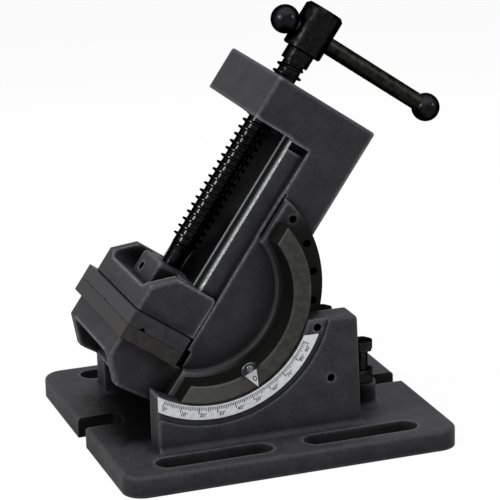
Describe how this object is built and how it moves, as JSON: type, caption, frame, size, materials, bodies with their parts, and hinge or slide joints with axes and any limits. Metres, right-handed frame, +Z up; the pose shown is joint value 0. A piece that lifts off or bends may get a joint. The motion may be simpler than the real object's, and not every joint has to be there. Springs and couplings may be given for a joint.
{
  "type": "tilting angle vise",
  "caption": "Drill and milling vise whose body tilts in a cradle base over a degree scale, with a lead screw, sliding jaw and ball-ended handle.",
  "frame": {"origin": "centre of the base's underside", "axes": "+X towards the end that the screw leans to, +Y away from the scale, +Z up"},
  "size_m": [0.2416, 0.199, 0.2644],
  "materials": {
    "painted_casting": "charcoal paint over fine sand-cast iron",
    "machined_casting": "turned and thinly painted iron",
    "jaw_steel": "blacked ground steel",
    "black_fitting": "black oxide",
    "bright_fitting": "bright plated",
    "black_screw": "oiled black oxide",
    "black_handle": "satin black oxide",
    "machined_steel": "machined, oiled",
    "scale_enamel": "satin pale grey with printed black graduations",
    "pointer_enamel": "satin pale enamel"
  },
  "bodies": {
    "base": {"base_casting": "painted_casting", "scale_plate": "scale_enamel"},
    "stop_bolt_near": {"stop_bolt_near": "black_fitting"},
    "stop_bolt_far": {"stop_bolt_far": "black_fitting"},
    "stop_nut_near": {"stop_lock_nut_near": "black_fitting"},
    "stop_nut_far": {"stop_lock_nut_far": "black_fitting"},
    "lock_bolt_right": {"tilt_lock_bolt_right": "black_fitting"},
    "lock_bolt_left": {"tilt_lock_bolt_left": "black_fitting"},
    "vise": {"vise_body": "painted_casting", "bearing_rib_near": "machined_casting", "bearing_rib_far": "machined_casting", "fixed_jaw_plate": "jaw_steel", "fixed_jaw_plate_screws": "black_fitting", "pointer": "pointer_enamel", "pointer_cap": "black_fitting", "pointer_screw": "bright_fitting"},
    "jaw": {"movable_jaw": "painted_casting", "movable_jaw_plate": "jaw_steel", "movable_jaw_plate_screws": "black_fitting", "jaw_keeper_plate": "machined_steel", "jaw_keeper_screws": "black_fitting", "screw_retainer": "black_fitting"},
    "screw": {"lead_screw": "black_screw"},
    "handle": {"handle_bar": "black_handle", "handle_ball_upper": "black_handle", "handle_ball_lower": "black_handle"}
  },
  "joints": [
    {"name": "tilt", "type": "hinge", "parent": "base", "child": "vise", "pos_m": [-0.0405, 0, 0.1025], "axis": [0, -1, 0], "range_deg": [-55, 35]},
    {"name": "jaw_slide", "type": "slide", "parent": "vise", "child": "jaw", "axis": [0.5736, 0, 0.8192], "range_m": [0, 0.1]},
    {"name": "screw_spin", "type": "hinge", "parent": "jaw", "child": "screw", "pos_m": [-0.04607, 0, 0.1064], "axis": [0.5736, 0, 0.8192], "range_deg": [0, 7092]},
    {"name": "handle_slide", "type": "slide", "parent": "screw", "child": "handle", "axis": [-0.8192, 0, 0.5736], "range_m": [0, 0.0728]},
    {"name": "stop_bolt_near_lift", "type": "slide", "parent": "base", "child": "stop_bolt_near", "axis": [0, 0, 1], "range_m": [-0.009, 0.0035]},
    {"name": "stop_bolt_far_lift", "type": "slide", "parent": "base", "child": "stop_bolt_far", "axis": [0, 0, 1], "range_m": [-0.009, 0.0035]},
    {"name": "stop_nut_near_lift", "type": "slide", "parent": "base", "child": "stop_nut_near", "axis": [0, 0, 1], "range_m": [0, 0.003]},
    {"name": "stop_nut_far_lift", "type": "slide", "parent": "base", "child": "stop_nut_far", "axis": [0, 0, 1], "range_m": [0, 0.003]},
    {"name": "lock_bolt_right_slide", "type": "slide", "parent": "base", "child": "lock_bolt_right", "axis": [0, 1, 0], "range_m": [0, 0.006]},
    {"name": "lock_bolt_left_slide", "type": "slide", "parent": "base", "child": "lock_bolt_left", "axis": [0, 1, 0], "range_m": [0, 0.006]}
  ],
  "couplings": [
    {"joint": "screw_spin", "follows": "jaw_slide", "rad_per_m": 1236.8}
  ]
}
